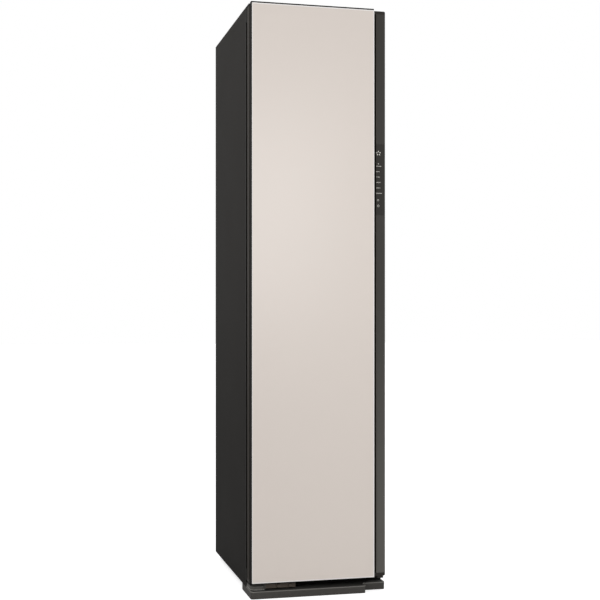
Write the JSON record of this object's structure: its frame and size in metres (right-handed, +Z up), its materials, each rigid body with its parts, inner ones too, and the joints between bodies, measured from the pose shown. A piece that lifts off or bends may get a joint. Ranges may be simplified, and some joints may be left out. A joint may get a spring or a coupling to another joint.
{
  "type": "clothes care steam cabinet",
  "caption": "Tall free-standing steam cabinet for clothes with a glass-fronted door, hanging chamber, shelf, air hangers and pull-out tanks.",
  "frame": {"origin": "on the floor below the middle of the plan", "axes": "+X to the right seen from the front, +Y to the back, +Z up"},
  "size_m": [0.445, 0.632, 1.85],
  "materials": {
    "body_paint": "fine textured dark paint",
    "rear_sheet": "grey coated sheet",
    "frame_plastic": "moulded dark grey",
    "base_steel": "black coated steel",
    "plinth_plastic": "moulded dark grey",
    "black_plastic": "black moulded",
    "hinge_steel": "satin",
    "door_glass": "back-painted, polished edge",
    "door_metal": "satin warm grey",
    "cap_plastic": "moulded warm grey",
    "strip_metal": "dark anodised",
    "window_gloss": "dark gloss window",
    "bushing_plastic": "natural acetal",
    "inner_plastic": "light grey moulded",
    "gasket_rubber": "soft black",
    "lamp_diffuser": "frosted",
    "shelf_plastic": "grey moulded",
    "filter_plastic": "blue grey moulded",
    "scent_plastic": "warm grey moulded",
    "hanger_plastic": "dark grey moulded",
    "tank_plastic": "smoky clear",
    "tank_cap": "blue moulded",
    "drain_cap": "grey moulded",
    "duct_plastic": "dark moulded",
    "fan_plastic": "dark moulded",
    "motor_steel": "zinc plated",
    "fin_aluminium": "bare fins",
    "compressor_paint": "black enamel",
    "pipe_copper": "drawn copper",
    "boiler_steel": "stainless",
    "hose_rubber": "silicone",
    "pump_plastic": "white moulded",
    "foot_steel": "zinc plated"
  },
  "bodies": {
    "cabinet": {"left_side_panel": "body_paint", "right_side_panel": "body_paint", "top_cover": "body_paint", "rear_panel": "rear_sheet", "front_frame": "frame_plastic", "base_frame": "base_steel", "base_plinth": "plinth_plastic", "cord_gland": "black_plastic", "upper_hinge": "hinge_steel", "lower_hinge": "hinge_steel", "hinge_covers": "frame_plastic", "chamber_left": "inner_plastic", "chamber_right": "inner_plastic", "chamber_back": "inner_plastic", "chamber_floor": "inner_plastic", "chamber_ceiling": "inner_plastic", "steam_outlet": "inner_plastic", "interior_lamp": "lamp_diffuser", "hanger_docks": "inner_plastic", "tank_bay": "inner_plastic", "rear_duct": "duct_plastic", "air_plenum": "duct_plastic", "blower_housing": "duct_plastic", "blower_motor": "motor_steel", "electronics_box": "duct_plastic", "heat_pump_duct": "duct_plastic", "evaporator": "fin_aluminium", "condenser": "fin_aluminium", "fan_motor": "motor_steel", "compressor": "compressor_paint", "steam_generator": "boiler_steel", "steam_hose": "hose_rubber", "water_pumps": "pump_plastic", "refrigerant_pipes": "pipe_copper"},
    "door": {"door_glass": "door_glass", "glass_carrier": "black_plastic", "door_shell": "door_metal", "grip_channel": "black_plastic", "handle_strip": "strip_metal", "control_window": "window_gloss", "door_end_caps": "cap_plastic", "hinge_bushings": "bushing_plastic", "door_liner": "inner_plastic", "door_gasket": "gasket_rubber"},
    "shelf": {"shelf": "shelf_plastic"},
    "lint_filter": {"lint_filter": "filter_plastic"},
    "scent_case": {"scent_case": "scent_plastic"},
    "air_hanger_left": {"air_hanger_left": "hanger_plastic"},
    "air_hanger_middle": {"air_hanger_middle": "hanger_plastic"},
    "air_hanger_right": {"air_hanger_right": "hanger_plastic"},
    "water_tank": {"water_tank": "tank_plastic"},
    "water_tank_cap": {"water_tank_cap": "tank_cap"},
    "drain_tank": {"drain_tank": "tank_plastic"},
    "drain_tank_cap": {"drain_tank_cap": "drain_cap"},
    "jet_impeller": {"jet_impeller": "fan_plastic"},
    "circulation_fan": {"circulation_fan": "fan_plastic"},
    "foot_front_left": {"foot_front_left": "foot_steel"},
    "foot_rear_left": {"foot_rear_left": "foot_steel"},
    "foot_front_right": {"foot_front_right": "foot_steel"},
    "foot_rear_right": {"foot_rear_right": "foot_steel"}
  },
  "joints": [
    {"name": "door_hinge", "type": "hinge", "parent": "cabinet", "child": "door", "pos_m": [-0.2105, -0.275, 0.925], "axis": [0, 0, -1], "range_deg": [0, 115]},
    {"name": "hanger_slide_left", "type": "slide", "parent": "cabinet", "child": "air_hanger_left", "axis": [0, -1, 0], "range_m": [0, 0.05]},
    {"name": "hanger_slide_middle", "type": "slide", "parent": "cabinet", "child": "air_hanger_middle", "axis": [0, -1, 0], "range_m": [0, 0.05]},
    {"name": "hanger_slide_right", "type": "slide", "parent": "cabinet", "child": "air_hanger_right", "axis": [0, -1, 0], "range_m": [0, 0.05]},
    {"name": "shelf_lift", "type": "slide", "parent": "cabinet", "child": "shelf", "axis": [0, 0, 1], "range_m": [0, 0.12]},
    {"name": "lint_filter_lift", "type": "slide", "parent": "cabinet", "child": "lint_filter", "axis": [0, 0, 1], "range_m": [0, 0.06]},
    {"name": "scent_case_lift", "type": "slide", "parent": "cabinet", "child": "scent_case", "axis": [0, 0, 1], "range_m": [0, 0.05]},
    {"name": "water_tank_slide", "type": "slide", "parent": "cabinet", "child": "water_tank", "axis": [0, -1, 0], "range_m": [0, 0.04]},
    {"name": "drain_tank_slide", "type": "slide", "parent": "cabinet", "child": "drain_tank", "axis": [0, -1, 0], "range_m": [0, 0.04]},
    {"name": "water_cap_hinge", "type": "hinge", "parent": "water_tank", "child": "water_tank_cap", "pos_m": [-0.099, -0.1048, 0.2405], "axis": [-1, 0, 0], "range_deg": [0, 90]},
    {"name": "drain_cap_hinge", "type": "hinge", "parent": "drain_tank", "child": "drain_tank_cap", "pos_m": [0.099, -0.1048, 0.2405], "axis": [-1, 0, 0], "range_deg": [0, 90]},
    {"name": "jet_impeller_spin", "type": "hinge", "parent": "cabinet", "child": "jet_impeller", "pos_m": [0, 0.11, 1.764], "axis": [0, 0, 1], "continuous": true},
    {"name": "circulation_fan_spin", "type": "hinge", "parent": "cabinet", "child": "circulation_fan", "pos_m": [-0.0805, 0.209, 0.1345], "axis": [0, 1, 0], "continuous": true},
    {"name": "foot_screw_front_left", "type": "hinge", "parent": "cabinet", "child": "foot_front_left", "pos_m": [-0.18, -0.208, 0.008], "axis": [0, 0, 1], "continuous": true},
    {"name": "foot_screw_rear_left", "type": "hinge", "parent": "cabinet", "child": "foot_rear_left", "pos_m": [-0.18, 0.276, 0.008], "axis": [0, 0, 1], "continuous": true},
    {"name": "foot_screw_front_right", "type": "hinge", "parent": "cabinet", "child": "foot_front_right", "pos_m": [0.18, -0.208, 0.008], "axis": [0, 0, 1], "continuous": true},
    {"name": "foot_screw_rear_right", "type": "hinge", "parent": "cabinet", "child": "foot_rear_right", "pos_m": [0.18, 0.276, 0.008], "axis": [0, 0, 1], "continuous": true}
  ]
}
